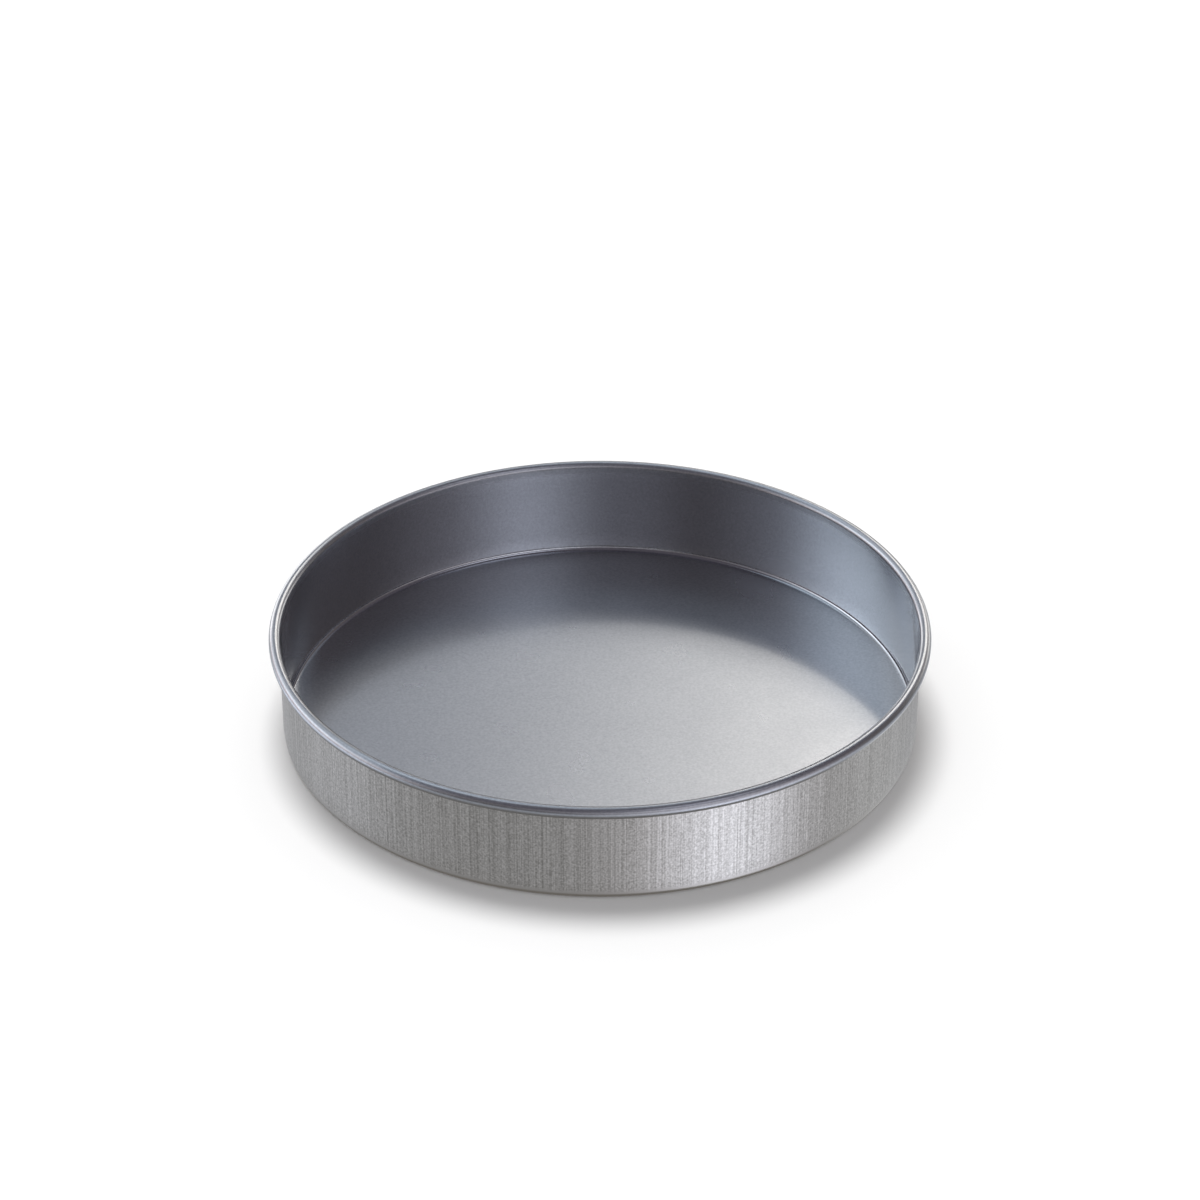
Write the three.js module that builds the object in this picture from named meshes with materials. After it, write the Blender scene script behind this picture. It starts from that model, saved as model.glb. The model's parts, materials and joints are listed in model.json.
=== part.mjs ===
// Round layer cake pan: a straight-sided pan drawn from one sheet, its top edge rolled outwards
// over a ring of wire. Millimetres, +Z up, origin under the middle of the floor.
import * as THREE from 'three';

// The pan as it is sold: inside diameter, and depth from the floor to the top of the rim
const INSIDE_DIAMETER = 228.6;
const INSIDE_DEPTH = 38.1;

// The sheet and the bend between floor and wall, measured on the inside
const SHEET_THICKNESS = 0.6;
const CORNER_RADIUS = 1.8;

// The wire in the rim, the play that the sheet leaves round it, and the slit under the rolled lip
const WIRE_DIAMETER = 2.4;
const WIRE_CLEARANCE = 0.3;
const LIP_SLIT = 0.35;

// Where the two ends of the wire meet, counted from +X towards +Y, and the gap they leave
const WIRE_JOINT_ANGLE = THREE.MathUtils.degToRad(15);
const WIRE_END_GAP = 0.8;

// Facets: round the pan, along each bend of the sheet, and round the wire
const ROUND_STEPS = 96;
const CORNER_STEPS = 4;
const CURL_STEPS = 17;
const WIRE_SIDES = 10;

const innerRadius = INSIDE_DIAMETER / 2;
const outerRadius = innerRadius + SHEET_THICKNESS;
const overallHeight = SHEET_THICKNESS + INSIDE_DEPTH;
const curlInside = WIRE_DIAMETER / 2 + WIRE_CLEARANCE;
const curlOutside = curlInside + SHEET_THICKNESS;

// The rim's centre, seen in the section to the right of the axis: the wall's inner face runs
// straight up into the roll, so the roll lies wholly outside the wall.
const rimCentre = new THREE.Vector2(innerRadius + curlOutside, overallHeight - curlOutside);
const cornerCentre = new THREE.Vector2(innerRadius - CORNER_RADIUS, SHEET_THICKNESS + CORNER_RADIUS);

// Points along an arc of the section, turning clockwise where the end angle is the smaller one
function arc(centre, radius, start, end, steps) {
  const curve = new THREE.EllipseCurve(centre.x, centre.y, radius, radius, start, end, end < start);
  return curve.getPoints(steps);
}

// The sheet's section: out along the underside, up the outer wall and round the inside of the roll
// to the lip, then back over the roll, down the inner wall and across the floor to the axis.
function sheetSection() {
  const lipFromCentre = outerRadius + LIP_SLIT - rimCentre.x;
  const lipAngle = -Math.acos(lipFromCentre / curlOutside);
  const down = -Math.PI / 2;
  return [
    new THREE.Vector2(0, 0),
    ...arc(cornerCentre, CORNER_RADIUS + SHEET_THICKNESS, down, 0, CORNER_STEPS),
    ...arc(rimCentre, curlInside, Math.PI, lipAngle, CURL_STEPS),
    ...arc(rimCentre, curlOutside, lipAngle, Math.PI, CURL_STEPS),
    ...arc(cornerCentre, CORNER_RADIUS, 0, down, CORNER_STEPS),
    new THREE.Vector2(0, SHEET_THICKNESS),
  ];
}

// Turned about the lathe's own Y axis, then stood up so that the axis is +Z
function makePanBody() {
  const geometry = new THREE.LatheGeometry(sheetSection(), ROUND_STEPS);
  const finish = new THREE.MeshStandardMaterial({ color: 0xa7abb0, roughness: 0.38, metalness: 1 });
  const mesh = new THREE.Mesh(geometry, finish);
  mesh.name = 'pan_body';
  mesh.rotation.x = Math.PI / 2;
  return mesh;
}

// The wire's middle line: once round the rim, stopping short of its own start by the end gap
class RimLine extends THREE.Curve {
  getPoint(t, target = new THREE.Vector3()) {
    const halfGap = WIRE_END_GAP / 2 / rimCentre.x;
    const start = WIRE_JOINT_ANGLE + halfGap;
    const angle = start + t * 2 * (Math.PI - halfGap);
    return target.set(rimCentre.x * Math.cos(angle), rimCentre.x * Math.sin(angle), rimCentre.y);
  }
}

function makeRimWire() {
  const section = new THREE.Shape();
  section.absarc(0, 0, WIRE_DIAMETER / 2, 0, 2 * Math.PI);
  const geometry = new THREE.ExtrudeGeometry(section, {
    extrudePath: new RimLine(),
    steps: ROUND_STEPS,
    curveSegments: WIRE_SIDES / 2,
  });
  const finish = new THREE.MeshStandardMaterial({ color: 0x8d8f92, roughness: 0.45, metalness: 1 });
  const mesh = new THREE.Mesh(geometry, finish);
  mesh.name = 'rim_wire';
  return mesh;
}

const cakePan = new THREE.Group();
cakePan.add(makePanBody(), makeRimWire());

export default cakePan;
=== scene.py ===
# %% [markdown]
# A round layer cake pan
#
# This lesson dresses a CAD part for a studio picture. The part is a straight-sided pan, drawn from one
# disc of sheet steel, whose top edge is rolled outwards over a ring of wire. The CAD model gives every
# size; Blender adds the finer shape, the finishes, the light and the camera. Loading the CAD model first
# means that nothing has to be fitted by eye afterwards: all of it is in metres in one frame, with the
# origin under the middle of the pan and +Z up.

import json
import math
from collections import namedtuple

import bmesh
import bpy
from mathutils import Matrix, Vector


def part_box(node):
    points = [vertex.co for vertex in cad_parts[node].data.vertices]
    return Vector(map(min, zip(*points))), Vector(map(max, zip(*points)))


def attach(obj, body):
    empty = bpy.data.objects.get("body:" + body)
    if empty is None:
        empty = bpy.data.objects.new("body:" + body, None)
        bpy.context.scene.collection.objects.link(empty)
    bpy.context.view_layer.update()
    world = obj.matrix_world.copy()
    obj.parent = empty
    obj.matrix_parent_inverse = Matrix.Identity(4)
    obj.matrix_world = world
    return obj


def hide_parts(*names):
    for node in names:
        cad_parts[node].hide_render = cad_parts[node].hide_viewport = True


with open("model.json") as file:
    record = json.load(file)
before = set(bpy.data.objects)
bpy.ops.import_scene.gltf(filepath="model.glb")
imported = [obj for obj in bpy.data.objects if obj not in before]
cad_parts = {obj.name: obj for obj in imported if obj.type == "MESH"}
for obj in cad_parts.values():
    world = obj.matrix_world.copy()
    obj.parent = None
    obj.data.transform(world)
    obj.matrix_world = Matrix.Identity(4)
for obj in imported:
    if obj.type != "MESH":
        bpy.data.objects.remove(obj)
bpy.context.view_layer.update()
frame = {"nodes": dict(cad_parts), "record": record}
scene = bpy.context.scene
print("CAD nodes:", sorted(frame["nodes"]))

# %% [markdown]
# The sizes of the sheet
#
# A sheet-metal worker thinks in one thickness and a few bends. The thickness is the height of the floor's
# upper face, which the record gives as a mount. The rim's roll is centred on the wire, so the wire's box
# gives the height of that centre, and the outer box gives the roll's radius. Only the small bend between
# floor and wall is stated here, as the CAD source states it.

# %% Read the sizes from the frame
MILLIMETRE = 0.001
CORNER_BEND = 1.8 * MILLIMETRE
LIP_SLIT = 0.35 * MILLIMETRE

mounts = {mount["name"]: mount for mount in frame["record"]["mounts"]}
sheet_thickness = mounts["floor_inside"]["pos_m"][2]
pan_low, pan_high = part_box("pan_body")
wire_low, wire_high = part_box("rim_wire")

rim_height = (wire_low.z + wire_high.z) / 2
roll_radius = pan_high.z - rim_height
rim_radius = pan_high.x - roll_radius
inner_radius = rim_radius - roll_radius
wire_radius = (wire_high.z - wire_low.z) / 2
print(f"inside radius {inner_radius / MILLIMETRE:.2f} mm, roll radius {roll_radius / MILLIMETRE:.2f} mm")
print(f"sheet {sheet_thickness / MILLIMETRE:.2f} mm, wire radius {wire_radius / MILLIMETRE:.2f} mm")

# %% [markdown]
# The sheet's section
#
# Seen in section, the sheet is one line: out along the floor, round the corner bend, up the wall and
# round the roll until the lip almost touches the wall again. The line could be typed in as a list of
# points, but two operators draw it as the metal was formed. Extruding a vertex makes a straight run, and
# spinning a vertex about a bend's centre makes the bend. The line follows the coated face, which is the
# inside of the pan and the outside of the roll.

# %% Draw the section of the coated face
CORNER_STEPS = 10
ROLL_STEPS = 48
WALL_RUNS = 6


def run_on(sheet, vert, shift):
    """Extrude one vertex of the section by a straight run."""
    end = bmesh.ops.extrude_vert_indiv(sheet, verts=[vert])["verts"][0]
    bmesh.ops.translate(sheet, verts=[end], vec=shift)
    return end


def bend_on(sheet, vert, centre, angle, steps):
    """Spin one vertex of the section about a bend's centre."""
    bend = bmesh.ops.spin(sheet, geom=[vert], cent=centre, axis=(0, 1, 0), angle=angle, steps=steps)
    return next(end for end in bend["geom_last"] if isinstance(end, bmesh.types.BMVert))


corner_centre = Vector((inner_radius - CORNER_BEND, 0, sheet_thickness + CORNER_BEND))
roll_centre = Vector((rim_radius, 0, rim_height))
lip_from_centre = inner_radius + sheet_thickness + LIP_SLIT - rim_radius
roll_angle = math.pi + math.acos(lip_from_centre / roll_radius)

pan_mesh = bmesh.new()
end = pan_mesh.verts.new((0, 0, sheet_thickness))
end = run_on(pan_mesh, end, (corner_centre.x, 0, 0))
end = bend_on(pan_mesh, end, corner_centre, -math.pi / 2, CORNER_STEPS)
for _ in range(WALL_RUNS):
    end = run_on(pan_mesh, end, (0, 0, (rim_height - corner_centre.z) / WALL_RUNS))
end = bend_on(pan_mesh, end, roll_centre, roll_angle, ROLL_STEPS)
print(f"section: {len(pan_mesh.verts)} points, lip at {[round(c / MILLIMETRE, 2) for c in end.co]} mm")

# %% [markdown]
# The pan
#
# A deep-drawn pan is a turned shape, so the section is spun once round the Z axis. A Screw modifier could
# do that as well, but the operator leaves a plain mesh, whose seams can be closed at once: the full spin
# merges its last step with its first, and the points on the axis are merged into one. The normals then
# have to point out of the coated face, because the thickness grows on the other side of it.

# %% Spin the section
ROUND_STEPS = 288
MERGE_DISTANCE = 0.001 * MILLIMETRE

bmesh.ops.spin(
    pan_mesh,
    geom=pan_mesh.verts[:] + pan_mesh.edges[:],
    cent=(0, 0, 0),
    axis=(0, 0, 1),
    angle=2 * math.pi,
    steps=ROUND_STEPS,
    use_merge=True,
)
bmesh.ops.remove_doubles(pan_mesh, verts=pan_mesh.verts, dist=MERGE_DISTANCE)
bmesh.ops.recalc_face_normals(pan_mesh, faces=pan_mesh.faces)
pan_mesh.faces.ensure_lookup_table()
floor_face = min(pan_mesh.faces, key=lambda face: face.calc_center_median().length)
if floor_face.normal.z < 0:
    bmesh.ops.reverse_faces(pan_mesh, faces=pan_mesh.faces)
print(f"coated face: {len(pan_mesh.faces)} faces")

# %% [markdown]
# The sheet's thickness
#
# A Solidify modifier gives the sheet its thickness on the far side of the coated face. It also gives that
# side the second material, because sheet for bakeware is coated on one side only. The edge of the lip was
# cut before the rim was rolled, so it shows bare metal, and a small Bevel rounds it as the rolling tool
# does.

# %% Give the sheet its thickness
LIP_ROUNDING = 0.1 * MILLIMETRE
LIP_SEGMENTS = 2
SHARP_EDGE = math.radians(60)


def finish_piece(bm, name):
    """Turn a bmesh into a smooth-shaded object at the origin."""
    for face in bm.faces:
        face.smooth = True
    mesh = bpy.data.meshes.new(name)
    bm.to_mesh(mesh)
    bm.free()
    piece = bpy.data.objects.new(name, mesh)
    scene.collection.objects.link(piece)
    return piece


drawn_pan = finish_piece(pan_mesh, "drawn_pan")
thickness = drawn_pan.modifiers.new("sheet_thickness", "SOLIDIFY")
thickness.thickness = sheet_thickness
thickness.offset = -1
thickness.use_even_offset = True
thickness.material_offset = 1
thickness.material_offset_rim = 1
lip = drawn_pan.modifiers.new("lip_rounding", "BEVEL")
lip.width = LIP_ROUNDING
lip.segments = LIP_SEGMENTS
lip.limit_method = "ANGLE"
lip.angle_limit = SHARP_EDGE
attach(drawn_pan, "root")
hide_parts("pan_body")
print(f"{drawn_pan.name}: {thickness.thickness / MILLIMETRE:.2f} mm of sheet behind the coated face")

# %% [markdown]
# The wire in the rim
#
# A ring of steel wire stiffens the rim. It lies inside the roll and shows only through the slit under the
# lip, so its ends, which butt together, are hidden. A circle spun almost all the way round makes it, and
# the two open ends are filled and chamfered as a wire cutter leaves them.

# %% Spin the rim wire
WIRE_JOINT_ANGLE = math.radians(15)
WIRE_END_GAP = 0.8 * MILLIMETRE
WIRE_SIDES = 20
WIRE_END_CHAMFER = 0.2 * MILLIMETRE

gap_angle = WIRE_END_GAP / rim_radius
wire_mesh = bmesh.new()
wire_start = Matrix.Rotation(WIRE_JOINT_ANGLE + gap_angle / 2, 4, "Z")
upright = Matrix.Translation(roll_centre) @ Matrix.Rotation(math.pi / 2, 4, "X")
bmesh.ops.create_circle(wire_mesh, segments=WIRE_SIDES, radius=wire_radius, matrix=wire_start @ upright)
bmesh.ops.spin(
    wire_mesh,
    geom=wire_mesh.verts[:] + wire_mesh.edges[:],
    cent=(0, 0, 0),
    axis=(0, 0, 1),
    angle=2 * math.pi - gap_angle,
    steps=ROUND_STEPS,
)
wire_ends = [edge for edge in wire_mesh.edges if edge.is_boundary]
bmesh.ops.holes_fill(wire_mesh, edges=wire_ends, sides=WIRE_SIDES)
bmesh.ops.bevel(
    wire_mesh,
    geom=wire_ends,
    offset=WIRE_END_CHAMFER,
    offset_type="OFFSET",
    affect="EDGES",
    segments=2,
    profile=0.5,
    material=-1,
)
bmesh.ops.recalc_face_normals(wire_mesh, faces=wire_mesh.faces)
rim_ring = finish_piece(wire_mesh, "rim_ring")
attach(rim_ring, "root")
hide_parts("rim_wire")
print(f"{rim_ring.name}: {len(rim_ring.data.polygons)} faces")

# %% [markdown]
# Helpers for materials
#
# Every finish is a small node tree. One function adds a node, sets its options and fills its inputs,
# with either a number or a link, so that each material reads as a list of what it is made of. Colours
# are written as sRGB hex values, as a paint chart gives them, and turned to the linear values that
# Blender computes with.

# %% Colour and node helpers


def linear_colour(hex_code):
    """Turn an sRGB hex value into a linear colour with alpha."""
    channels = [int(hex_code[start:start + 2], 16) / 255 for start in (1, 3, 5)]
    linear = [c / 12.92 if c <= 0.04045 else ((c + 0.055) / 1.055) ** 2.4 for c in channels]
    return (*linear, 1.0)


def add_node(tree, kind, settings, inputs):
    """Add one node with its settings, and fill or link its inputs."""
    node = tree.nodes.new(kind)
    for setting, value in settings.items():
        setattr(node, setting, value)
    for socket, value in inputs.items():
        if isinstance(value, bpy.types.NodeSocket):
            tree.links.new(value, node.inputs[socket])
        else:
            node.inputs[socket].default_value = value
    return node


def new_material(name):
    """Make an empty node material and return it with its tree."""
    material = bpy.data.materials.new(name)
    material.use_nodes = True
    material.node_tree.nodes.clear()
    return material, material.node_tree


print("mid grey in linear values:", [round(c, 3) for c in linear_colour("#808080")])

# %% [markdown]
# The silver release coating
#
# Inside, the pan has a silver release coating: aluminium flake in a clear resin, rolled onto the flat
# sheet and baked before the pan is drawn. The eye sees two reflections at once. The flakes give a broad,
# cool sheen with a fine speckle, where single flakes catch the light. The resin above them gives a faint
# but crisp mirror image, and on the floor the dark image of the wall ends in a clear line. So the shader
# will be a metal under a clear coat. First, one noise gives the flakes their tones and their fine bump,
# and a coarser one gives the film its slight orange peel.

# %% Scatter the flakes
FLAKE_SIZE = 0.9 * MILLIMETRE  # real flakes are finer than 0.1 mm; drawn this coarse so that they show
FLAKE_DEPTH = 0.004 * MILLIMETRE
FLAKE_DARK = "#969BA3"
FLAKE_LIGHT = "#BFC3C9"
PEEL_SIZE = 3 * MILLIMETRE
PEEL_DEPTH = 0.006 * MILLIMETRE

coating, tree = new_material("silver_flake_release_coating")
place = add_node(tree, "ShaderNodeTexCoord", {}, {}).outputs["Object"]
flakes = add_node(tree, "ShaderNodeTexNoise", {}, {"Vector": place, "Scale": 1 / FLAKE_SIZE, "Detail": 2.0})
peel = add_node(tree, "ShaderNodeTexNoise", {}, {"Vector": place, "Scale": 1 / PEEL_SIZE, "Detail": 1.0})
tone = add_node(
    tree,
    "ShaderNodeMix",
    {"data_type": "RGBA"},
    {"Factor": flakes.outputs["Fac"], 6: linear_colour(FLAKE_DARK), 7: linear_colour(FLAKE_LIGHT)},
)
peel_bump = add_node(
    tree,
    "ShaderNodeBump",
    {},
    {"Height": peel.outputs["Fac"], "Strength": 1.0, "Distance": PEEL_DEPTH},
)
flake_bump = add_node(
    tree,
    "ShaderNodeBump",
    {},
    {
        "Height": flakes.outputs["Fac"],
        "Normal": peel_bump.outputs["Normal"],
        "Strength": 1.0,
        "Distance": FLAKE_DEPTH,
    },
)
print(f"{coating.name}: flakes {FLAKE_SIZE:.4f} m across, orange peel {PEEL_SIZE:.4f} m across")

# %% [markdown]
# The gloss of the coating
#
# Forming the pan changes the film. On the floor it stays as it was laid on, in the corner and on the wall
# it is ironed smooth, and on the rim it is dulled by the rolling tool, so the roughness of the flakes
# follows the height. A painted map could say that too, but a ramp over Z needs no unwrapping. Broad
# clouds make the gloss a little uneven, as a baked film is. The resin lies on top as a clear coat of even
# gloss.

# %% Let the gloss follow the height
FLAKE_ROUGHNESS = {0.6: 0.29, 0.9: 0.15, 2.6: 0.15, 6: 0.22, 34: 0.22, 36: 0.36}  # by height in mm
CLOUD_SIZE = 25 * MILLIMETRE
CLOUD_LOW = 0.3
CLOUD_HIGH = 0.7
CLOUD_DULLING = 0.02
RESIN_ROUGHNESS = 0.10
RESIN_IOR = 1.7  # a hard resin full of fine metal mirrors more strongly than a clear one

height = add_node(tree, "ShaderNodeSeparateXYZ", {}, {"Vector": place})
share = add_node(tree, "ShaderNodeMapRange", {}, {"Value": height.outputs["Z"], "From Max": pan_high.z})
gloss_base = add_node(tree, "ShaderNodeValToRGB", {}, {"Fac": share.outputs["Result"]})
for _ in range(len(FLAKE_ROUGHNESS) - 2):
    gloss_base.color_ramp.elements.new(0.5)
for stop, (stop_height, roughness) in zip(gloss_base.color_ramp.elements, FLAKE_ROUGHNESS.items()):
    stop.position = stop_height * MILLIMETRE / pan_high.z
    stop.color = (roughness, roughness, roughness, 1.0)
clouds = add_node(tree, "ShaderNodeTexNoise", {}, {"Vector": place, "Scale": 1 / CLOUD_SIZE, "Detail": 2.0})
uneven = add_node(
    tree,
    "ShaderNodeMapRange",
    {},
    {
        "Value": clouds.outputs["Fac"],
        "From Min": CLOUD_LOW,
        "From Max": CLOUD_HIGH,
        "To Min": -CLOUD_DULLING,
        "To Max": CLOUD_DULLING,
    },
)
gloss = add_node(tree, "ShaderNodeMath", {}, {0: gloss_base.outputs["Color"], 1: uneven.outputs["Result"]})
metal = add_node(
    tree,
    "ShaderNodeBsdfPrincipled",
    {},
    {
        "Base Color": tone.outputs[2],
        "Metallic": 1.0,
        "Roughness": gloss.outputs["Value"],
        "Normal": flake_bump.outputs["Normal"],
        "Coat Weight": 1.0,
        "Coat Roughness": RESIN_ROUGHNESS,
        "Coat IOR": RESIN_IOR,
    },
)
add_node(tree, "ShaderNodeOutputMaterial", {}, {"Surface": metal.outputs["BSDF"]})
drawn_pan.data.materials.append(coating)
print(f"{coating.name}: {len(tree.nodes)} nodes")

# %% [markdown]
# The bare outside
#
# Outside, the sheet is aluminised steel, left bare: steel hot-dipped in aluminium. Drawing the blank
# through a die drags its surface upwards, so the wall is covered with fine upright marks over a frosty
# grain, duller and warmer than the coating. The lowest few millimetres stayed under the punch and are
# smooth. Noise stretched along Z draws the marks in step with the real direction of drawing, and a second
# noise gives the grain. Both fade out towards the bottom edge.

# %% Draw the marks and the grain
DRAW_MARK_WIDTH = 0.5 * MILLIMETRE  # real marks and grain are finer; drawn this coarse so that they show
DRAW_MARK_LENGTH = 120 * MILLIMETRE
GRAIN_SIZE = 0.7 * MILLIMETRE
GRAIN_SHARE = 0.5
SMOOTH_BELOW = 2.4 * MILLIMETRE
MARKED_ABOVE = 4.0 * MILLIMETRE
SMOOTH_LEVEL = 0.5

bare_metal, tree = new_material("bare_aluminised_steel")
place = add_node(tree, "ShaderNodeTexCoord", {}, {}).outputs["Object"]
across = 1 / DRAW_MARK_WIDTH
stretched = add_node(
    tree,
    "ShaderNodeMapping",
    {},
    {"Vector": place, "Scale": (across, across, 1 / DRAW_MARK_LENGTH)},
)
marks = add_node(
    tree,
    "ShaderNodeTexNoise",
    {},
    {"Vector": stretched.outputs["Vector"], "Scale": 1.0, "Detail": 3.0, "Roughness": 0.6},
)
grain = add_node(tree, "ShaderNodeTexNoise", {}, {"Vector": place, "Scale": 1 / GRAIN_SIZE, "Detail": 2.0})
texture = add_node(
    tree,
    "ShaderNodeMix",
    {},
    {"Factor": GRAIN_SHARE, "A": marks.outputs["Fac"], "B": grain.outputs["Fac"]},
)
height = add_node(tree, "ShaderNodeSeparateXYZ", {}, {"Vector": place})
drawn = add_node(
    tree,
    "ShaderNodeMapRange",
    {"interpolation_type": "SMOOTHSTEP"},
    {"Value": height.outputs["Z"], "From Min": SMOOTH_BELOW, "From Max": MARKED_ABOVE},
)
surface = add_node(
    tree,
    "ShaderNodeMix",
    {},
    {"Factor": drawn.outputs["Result"], "A": SMOOTH_LEVEL, "B": texture.outputs[0]},
)
print(f"{bare_metal.name}: marks {DRAW_MARK_WIDTH:.4f} m wide, grain {GRAIN_SIZE:.4f} m across")

# %% [markdown]
# The look of the marks
#
# The eye reads a draw mark by its tone and by how it breaks the light. The ridges are rubbed bright and
# the valleys keep the dull skin of the dip, so one pattern drives both the tone and the bump. Bump is
# enough here, because the real marks are far too shallow to change the outline.

# %% Turn the marks into tone and bump
MARK_DEPTH = 0.05 * MILLIMETRE
BARE_TONES = {0.36: "#9B9995", 0.64: "#DBD9D6"}  # from the marks' valleys to their ridges
BARE_ROUGHNESS = 0.36

tone = add_node(tree, "ShaderNodeValToRGB", {}, {"Fac": surface.outputs[0]})
for stop, (position, hex_code) in zip(tone.color_ramp.elements, BARE_TONES.items()):
    stop.position = position
    stop.color = linear_colour(hex_code)
mark_bump = add_node(
    tree,
    "ShaderNodeBump",
    {},
    {"Height": surface.outputs[0], "Strength": 1.0, "Distance": MARK_DEPTH},
)
metal = add_node(
    tree,
    "ShaderNodeBsdfPrincipled",
    {},
    {
        "Base Color": tone.outputs["Color"],
        "Metallic": 1.0,
        "Roughness": BARE_ROUGHNESS,
        "Normal": mark_bump.outputs["Normal"],
    },
)
add_node(tree, "ShaderNodeOutputMaterial", {}, {"Surface": metal.outputs["BSDF"]})
drawn_pan.data.materials.append(bare_metal)
print(f"{bare_metal.name}: {len(tree.nodes)} nodes")

# %% [markdown]
# The wire's finish
#
# The wire is drawn through a die too, so it is plain grey steel, a little uneven in tone and gloss. It is
# deep in the roll, where only its general tone reaches the eye, so one noise is enough: it varies the
# tone and the roughness along the ring.

# %% Make the wire's metal
WIRE_MARK_SIZE = 1.5 * MILLIMETRE
WIRE_DARK = "#7C7D80"
WIRE_LIGHT = "#A5A6A8"
WIRE_SMOOTHEST = 0.35
WIRE_DULLEST = 0.55

wire_metal, tree = new_material("drawn_steel_wire")
place = add_node(tree, "ShaderNodeTexCoord", {}, {}).outputs["Object"]
dulling = add_node(tree, "ShaderNodeTexNoise", {}, {"Vector": place, "Scale": 1 / WIRE_MARK_SIZE})
tone = add_node(
    tree,
    "ShaderNodeMix",
    {"data_type": "RGBA"},
    {"Factor": dulling.outputs["Fac"], 6: linear_colour(WIRE_DARK), 7: linear_colour(WIRE_LIGHT)},
)
gloss = add_node(
    tree,
    "ShaderNodeMapRange",
    {},
    {"Value": dulling.outputs["Fac"], "To Min": WIRE_SMOOTHEST, "To Max": WIRE_DULLEST},
)
metal = add_node(
    tree,
    "ShaderNodeBsdfPrincipled",
    {},
    {"Base Color": tone.outputs[2], "Metallic": 1.0, "Roughness": gloss.outputs["Result"]},
)
add_node(tree, "ShaderNodeOutputMaterial", {}, {"Surface": metal.outputs["BSDF"]})
rim_ring.data.materials.append(wire_metal)
print(f"{wire_metal.name}: {len(tree.nodes)} nodes")

# %% [markdown]
# The floor
#
# The pan stands on white studio paper. In the picture the paper is pure white, but the metal doesn't
# mirror it that brightly, because the background was whitened afterwards. So the floor is hidden from
# glossy rays, and the metal sees the dimmer world below the horizon instead.

# %% Lay the floor
FLOOR_HALF_SIZE = 6.0
PAPER_WHITE = "#F4F4F4"
PAPER_ROUGHNESS = 0.9

floor_mesh = bmesh.new()
bmesh.ops.create_grid(floor_mesh, x_segments=1, y_segments=1, size=FLOOR_HALF_SIZE)
paper_floor = finish_piece(floor_mesh, "paper_floor")
paper_floor.visible_glossy = False
paper, tree = new_material("white_studio_paper")
matte = add_node(
    tree,
    "ShaderNodeBsdfPrincipled",
    {},
    {"Base Color": linear_colour(PAPER_WHITE), "Roughness": PAPER_ROUGHNESS},
)
add_node(tree, "ShaderNodeOutputMaterial", {}, {"Surface": matte.outputs["BSDF"]})
paper_floor.data.materials.append(paper)
print(f"{paper_floor.name}: {2 * FLOOR_HALF_SIZE:.0f} m across")

# %% [markdown]
# The room around the pan
#
# A shiny thing is lit by what it mirrors, so the dim parts of the room matter as much as the lamps. The
# world gives them by height: a dark strip of table close to the pan, which is a painted shadow of the
# pan on the table, the grey table further out, a dark horizon and a dim room. Only the metal sees these
# tones.

# %% Give the room its tones
ROOM_TONES = {
    # painted shadow: the dark tone of the table close to the pan stands in for the pan's own shadow on it
    "table_in_pan_shadow": (0.10, "#8A8681"),
    "table": (0.22, "#BBBDC1"),
    "table_far": (0.42, "#BBBDC1"),
    "horizon": (0.48, "#000000"),
    "room": (0.62, "#756B68"),
    "ceiling": (0.90, "#655F66"),
}

world = bpy.data.worlds.new("studio_room")
scene.world = world
world.use_nodes = True
tree = world.node_tree
tree.nodes.clear()
direction = add_node(tree, "ShaderNodeTexCoord", {}, {}).outputs["Generated"]
split = add_node(tree, "ShaderNodeSeparateXYZ", {}, {"Vector": direction})
upward = add_node(tree, "ShaderNodeMapRange", {}, {"Value": split.outputs["Z"], "From Min": -1.0})
room = add_node(tree, "ShaderNodeValToRGB", {}, {"Fac": upward.outputs["Result"]})
for _ in range(len(ROOM_TONES) - 2):
    room.color_ramp.elements.new(0.5)
for stop, (position, hex_code) in zip(room.color_ramp.elements, ROOM_TONES.values()):
    stop.position = position
    stop.color = linear_colour(hex_code)
print(f"{world.name}: {len(ROOM_TONES)} tones from the table to the ceiling")
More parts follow.
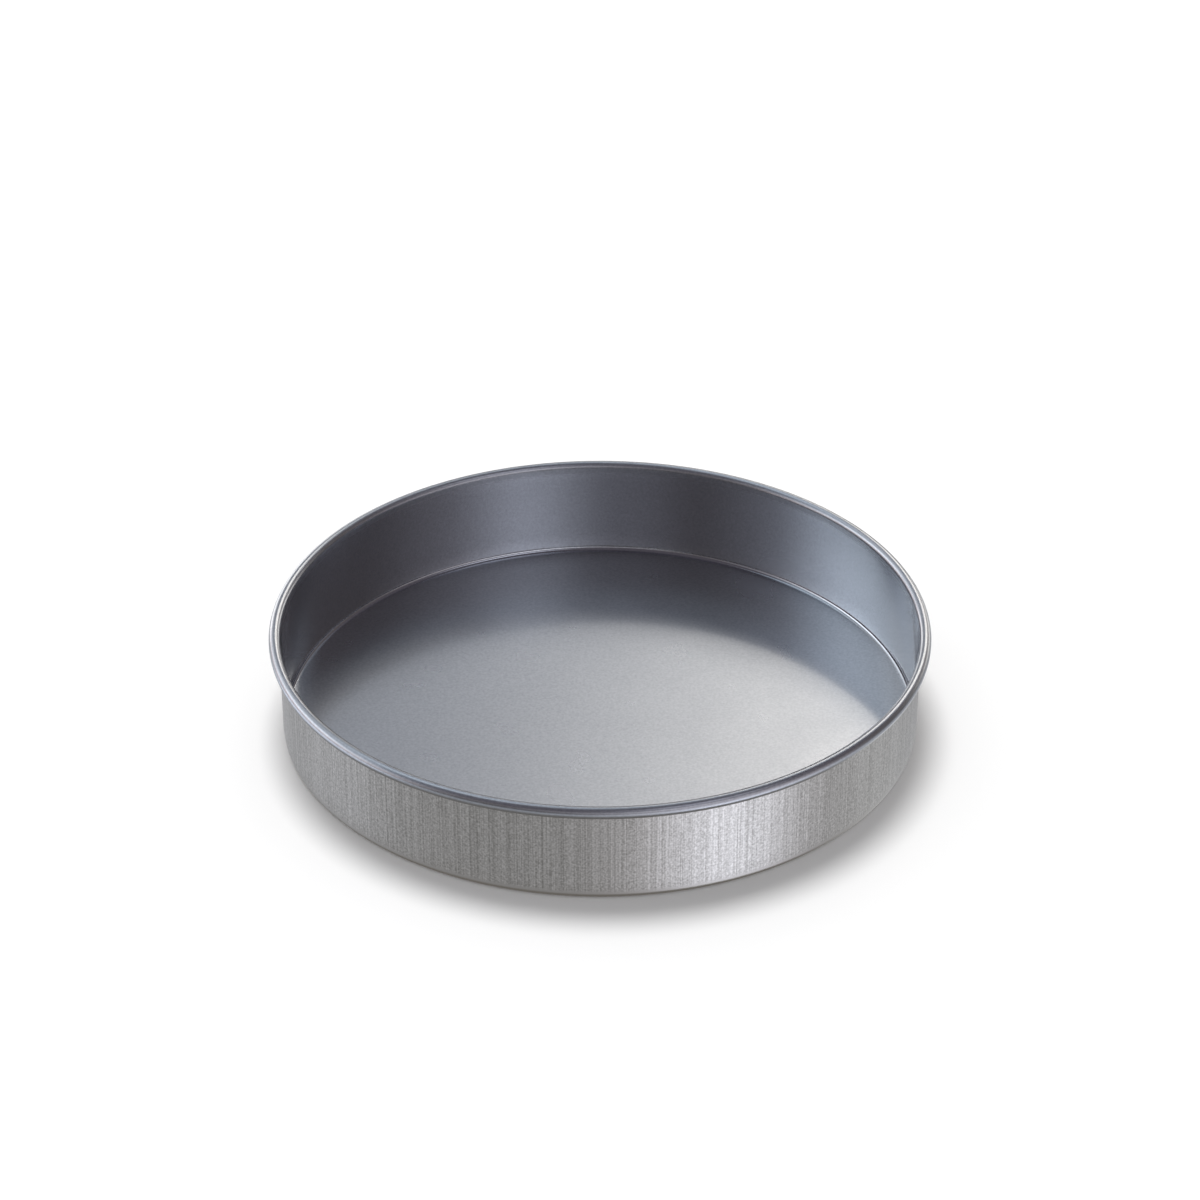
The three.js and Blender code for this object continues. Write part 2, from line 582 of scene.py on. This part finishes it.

# %% [markdown]
# The softboxes
#
# The bright shapes in the metal are softboxes and white cards. A lamp behind cloth is brightest in the
# middle and fades towards its edge, so each one is an oval glow in the world: a direction as the camera
# sees it, how far it reaches sideways and upwards in degrees, how much of it is evenly bright, its
# strength and its tint. Area lights would do too, but their hard edges show in the polished wall. These
# numbers, and the tones of the room above, were not set by hand: a separate program fitted them to the
# brightness and colour of the picture and rounded them. Only back_right and key_high were changed after
# that.

# %% Hang the softboxes
Glow = namedtuple("Glow", "azimuth elevation reach_side reach_up core strength tint")
GLOWS = {
    "back_right": Glow(166, 31, 14, 13, 0.6, 2.85, "#FFF9EF"),
    "back_middle": Glow(-174, 32, 14, 14, 0.3, 0.15, "#9FD3FF"),
    "left_back": Glow(-158, 34, 14, 13, 0.3, 0.35, "#EBF5FF"),
    "left_wall": Glow(-114, 25, 56, 18, 0.1, 1.95, "#EEF8FF"),
    "left_far": Glow(-142, 52, 13, 34, 0.8, 0.40, "#FAFFFF"),
    "left_fringe": Glow(-80, 29, 55, 12, 0.0, 0.55, "#F0F3FF"),
    "left_low": Glow(-106, 10, 57, 14, 0.8, 0.90, "#FFEEED"),
    "key": Glow(25, 25, 33, 12, 0.0, 1.25, "#F3F6FF"),
    "key_high": Glow(46, 56, 26, 13, 0.2, 1.20, "#F0F2FF"),
    "key_spill": Glow(44, -8, 80, 60, 0.2, 0.70, "#FCF7FF"),
    "front_fill": Glow(-11, 24, 29, 13, 0.0, 0.35, "#F0F2FF"),
    "overhead_back": Glow(-152, 59, 80, 17, 0.3, 0.75, "#DCF0FF"),
    "table_glow": Glow(46, -35, 30, 12, 0.0, 2.10, "#E8EFFF"),
    "sweep_left": Glow(-157, 2, 18, 15, 0.8, 1.60, "#FFFFFE"),
    "sweep_right": Glow(144, 6, 30, 13, 0.0, 2.20, "#FFFCF7"),
    "left_table": Glow(-101, -17, 38, 13, 0.8, 1.10, "#EAF0FF"),
    "under_back": Glow(148, -44, 80, 15, 0.0, 0.55, "#FBFDFF"),
}
GLOW_DEPTH = 2.0


def around(azimuth, elevation, distance):
    """A point round the pan: azimuth 0 is towards the camera, and grows to the camera's right."""
    turn, rise = math.radians(azimuth), math.radians(elevation)
    level = math.cos(rise) * distance
    return Vector((level * math.sin(turn), -level * math.cos(turn), math.sin(rise) * distance))


lit = room.outputs["Color"]
for glow in GLOWS.values():
    reach = (math.sin(math.radians(glow.reach_side)), GLOW_DEPTH, math.sin(math.radians(glow.reach_up)))
    offset = add_node(
        tree,
        "ShaderNodeMapping",
        {"vector_type": "TEXTURE"},
        {
            "Vector": direction,
            "Location": around(glow.azimuth, glow.elevation, 1.0),
            "Rotation": (-math.radians(glow.elevation), 0, math.radians(glow.azimuth)),
            "Scale": reach,
        },
    )
    away = add_node(tree, "ShaderNodeVectorMath", {"operation": "LENGTH"}, {0: offset.outputs["Vector"]})
    falloff = add_node(
        tree,
        "ShaderNodeMapRange",
        {"interpolation_type": "SMOOTHSTEP"},
        {"Value": away.outputs["Value"], "From Min": glow.core, "To Min": glow.strength, "To Max": 0.0},
    )
    lit = add_node(
        tree,
        "ShaderNodeVectorMath",
        {"operation": "MULTIPLY_ADD"},
        {0: falloff.outputs["Result"], 1: linear_colour(glow.tint)[:3], 2: lit},
    ).outputs["Vector"]
print(f"{len(GLOWS)} soft glows round the pan")

# %% [markdown]
# The light on the paper
#
# The paper has to come out pure white, with a soft shadow under the front of the pan, and the metal's
# softboxes shouldn't disturb that. So the world answers each kind of ray by itself: the metal sees the
# room, the paper gets an even white fill, and the camera sees white where it looks past the paper. One
# broad, high sun from behind casts the shadow, and its disc is hidden from the metal.

# %% Light the paper
PAPER_FILL = 0.55
SUN_AZIMUTH = -167
SUN_ELEVATION = 74.5
SUN_DISTANCE = 2.0
SUN_ACROSS = math.radians(24)
SUN_STRENGTH = 2.0

ray = add_node(tree, "ShaderNodeLightPath", {}, {})
white = linear_colour("#FFFFFF")
metal_sees = add_node(tree, "ShaderNodeBackground", {}, {"Color": lit})
paper_gets = add_node(tree, "ShaderNodeBackground", {}, {"Color": white, "Strength": PAPER_FILL})
camera_sees = add_node(tree, "ShaderNodeBackground", {}, {"Color": white})
for_paper = add_node(
    tree,
    "ShaderNodeMixShader",
    {},
    {0: ray.outputs["Is Diffuse Ray"], 1: metal_sees.outputs[0], 2: paper_gets.outputs[0]},
)
for_camera = add_node(
    tree,
    "ShaderNodeMixShader",
    {},
    {0: ray.outputs["Is Camera Ray"], 1: for_paper.outputs[0], 2: camera_sees.outputs[0]},
)
add_node(tree, "ShaderNodeOutputWorld", {}, {"Surface": for_camera.outputs[0]})

paper_sun = bpy.data.objects.new("paper_sun", bpy.data.lights.new("paper_sun", "SUN"))
paper_sun.location = around(SUN_AZIMUTH, SUN_ELEVATION, SUN_DISTANCE)
paper_sun.rotation_euler = paper_sun.location.to_track_quat("Z", "Y").to_euler()
paper_sun.data.energy = SUN_STRENGTH
paper_sun.data.angle = SUN_ACROSS
paper_sun.visible_glossy = False
scene.collection.objects.link(paper_sun)
print(f"{paper_sun.name}: {paper_sun.data.energy} W/m2, fill {PAPER_FILL}")

# %% [markdown]
# The camera
#
# The camera's place was worked out from the curves of the rim and the base in the picture: it looks down
# at the pan from about a metre and a quarter, with a long lens that keeps the ellipses calm. The view
# transform is Standard, so that paper of full brightness comes out white.

# %% Set the camera
CAMERA_DISTANCE = 1.25
CAMERA_ELEVATION = math.radians(32.096)
CAMERA_PITCH = math.radians(31.640)
CAMERA_TARGET_HEIGHT = 35.8 * MILLIMETRE
SENSOR_WIDTH = 36.0
FOCAL_LENGTH = 104.5

camera = bpy.data.objects.new("camera", bpy.data.cameras.new("camera"))
camera.data.sensor_width = SENSOR_WIDTH
camera.data.lens = FOCAL_LENGTH
camera.location = (
    0,
    -CAMERA_DISTANCE * math.cos(CAMERA_ELEVATION),
    CAMERA_TARGET_HEIGHT + CAMERA_DISTANCE * math.sin(CAMERA_ELEVATION),
)
camera.rotation_euler = (math.pi / 2 - CAMERA_PITCH, 0, 0)
scene.collection.objects.link(camera)
scene.camera = camera
scene.view_settings.view_transform = "Standard"
print(f"camera at {[round(c, 3) for c in camera.location]} m, lens {FOCAL_LENGTH} mm")
